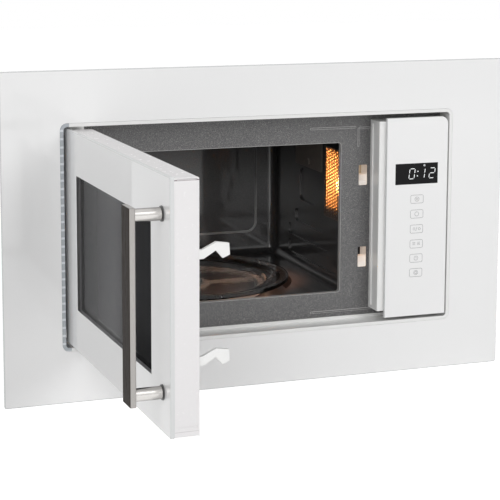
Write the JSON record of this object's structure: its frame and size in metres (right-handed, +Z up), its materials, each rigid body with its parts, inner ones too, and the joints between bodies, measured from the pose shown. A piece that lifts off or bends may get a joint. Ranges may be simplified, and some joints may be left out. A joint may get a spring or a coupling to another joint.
{
  "type": "built-in microwave oven",
  "caption": "Built-in microwave oven with a white glass trim, a side-hinged glass door with a bar handle, touch controls, a turntable and a steel body for a wall-unit niche.",
  "frame": {"origin": "on the kitchen cabinet's front plane, half way across the oven, at the height of the niche floor", "axes": "+X to the right seen from the front, +Y into the cabinet, +Z up"},
  "size_m": [0.595, 0.6763, 0.366],
  "materials": {
    "white_glass": "polished, white behind",
    "carrier_plastic": "moulded",
    "white_plastic": "gloss",
    "galvanised": "zinc-coated",
    "grey_enamel": "speckled enamel",
    "face_paint": "speckled paint",
    "lamp_glass": "clear",
    "dark_plastic": "moulded",
    "mica": "flaky sheet",
    "aluminium": "mill",
    "core_steel": "varnished laminations",
    "copper_wire": "enamelled copper",
    "pale_plastic": "moulded",
    "tray_glass": "clear toughened",
    "quartz": "quartz",
    "mirror_aluminium": "polished",
    "rubber": "matt",
    "steel": "plain",
    "black_gloss": "gloss",
    "board_green": "solder mask",
    "ceramic_white": "steatite",
    "door_pan_paint": "gloss black enamel",
    "film": "clear",
    "handle_steel": "brushed",
    "post_steel": "satin"
  },
  "bodies": {
    "body": {"trim_glass": "white_glass", "trim_carrier": "carrier_plastic", "recess_liner": "white_plastic", "trim_brackets": "galvanised", "face_plate": "face_paint", "chamber": "grey_enamel", "lamp_grille": "grey_enamel", "lamp_holder": "dark_plastic", "lamp_bulb": "lamp_glass", "waveguide_cover": "mica", "waveguide": "galvanised", "magnetron": "aluminium", "transformer_core": "core_steel", "transformer_coils": "copper_wire", "capacitor": "aluminium", "diode": "dark_plastic", "fan_shroud": "dark_plastic", "fan_motor": "steel", "turntable_motor": "steel", "grill_reflector": "mirror_aluminium", "grill_tubes": "quartz", "body_cover": "galvanised", "base_pan": "galvanised", "back_panel": "galvanised", "cord_inlet": "rubber", "rail_left": "galvanised", "rail_right": "galvanised", "feet": "rubber", "hinge_bracket_top": "steel", "hinge_bracket_bottom": "steel", "latch_board": "white_plastic", "microswitches": "dark_plastic", "control_housing": "white_plastic", "control_glass": "white_glass", "display_module": "black_gloss", "control_board": "board_green", "noise_filter": "board_green", "thermal_cutouts": "ceramic_white"},
    "door": {"door_glass": "white_glass", "door_frame": "white_plastic", "hinge_bushes": "pale_plastic", "door_pan": "door_pan_paint", "door_film": "film", "door_cover": "white_plastic", "handle_bar": "handle_steel", "handle_posts": "post_steel", "handle_washers": "dark_plastic", "latch_spring": "steel"},
    "latch": {"latch_lever": "white_plastic"},
    "driver": {"turntable_driver": "dark_plastic"},
    "tray": {"glass_tray": "tray_glass"},
    "ring": {"roller_ring": "pale_plastic"},
    "roller_a": {"roller_1": "dark_plastic"},
    "roller_b": {"roller_2": "dark_plastic"},
    "roller_c": {"roller_3": "dark_plastic"},
    "fan": {"fan_impeller": "pale_plastic"}
  },
  "joints": [
    {"name": "door_hinge", "type": "hinge", "parent": "body", "child": "door", "pos_m": [-0.2167, -0.0065, 0.182], "axis": [0, 0, 1], "range_deg": [-7, 88.4]},
    {"name": "latch_lift", "type": "slide", "parent": "door", "child": "latch", "axis": [0, 0, 1], "range_m": [0, 0.004], "stiffness_N_per_m": 220, "springref_m": -0.012, "deforming": ["latch_spring"]},
    {"name": "driver_spin", "type": "hinge", "parent": "body", "child": "driver", "pos_m": [-0.041, 0.1446, 0.08], "axis": [0, 0, 1], "continuous": true},
    {"name": "tray_lift", "type": "slide", "parent": "driver", "child": "tray", "axis": [0, 0, 1], "range_m": [0, 0.02]},
    {"name": "ring_spin", "type": "hinge", "parent": "body", "child": "ring", "pos_m": [-0.041, 0.1446, 0.08], "axis": [0, 0, 1], "continuous": true},
    {"name": "fan_spin", "type": "hinge", "parent": "body", "child": "fan", "pos_m": [0.176, 0.28, 0.246], "axis": [0, 1, 0], "continuous": true},
    {"name": "roller_a_spin", "type": "hinge", "parent": "ring", "child": "roller_a", "pos_m": [0.059, 0.1446, 0.0798], "axis": [1, 0, 0], "continuous": true},
    {"name": "roller_b_spin", "type": "hinge", "parent": "ring", "child": "roller_b", "pos_m": [-0.091, 0.2312, 0.0798], "axis": [-0.5, 0.866, 0], "continuous": true},
    {"name": "roller_c_spin", "type": "hinge", "parent": "ring", "child": "roller_c", "pos_m": [-0.091, 0.058, 0.0798], "axis": [-0.5, -0.866, 0], "continuous": true}
  ],
  "couplings": [
    {"joint": "ring_spin", "follows": "driver_spin", "ratio": 0.5},
    {"joint": "roller_a_spin", "follows": "driver_spin", "ratio": -7.6923},
    {"joint": "roller_b_spin", "follows": "driver_spin", "ratio": -7.6923},
    {"joint": "roller_c_spin", "follows": "driver_spin", "ratio": -7.6923}
  ]
}
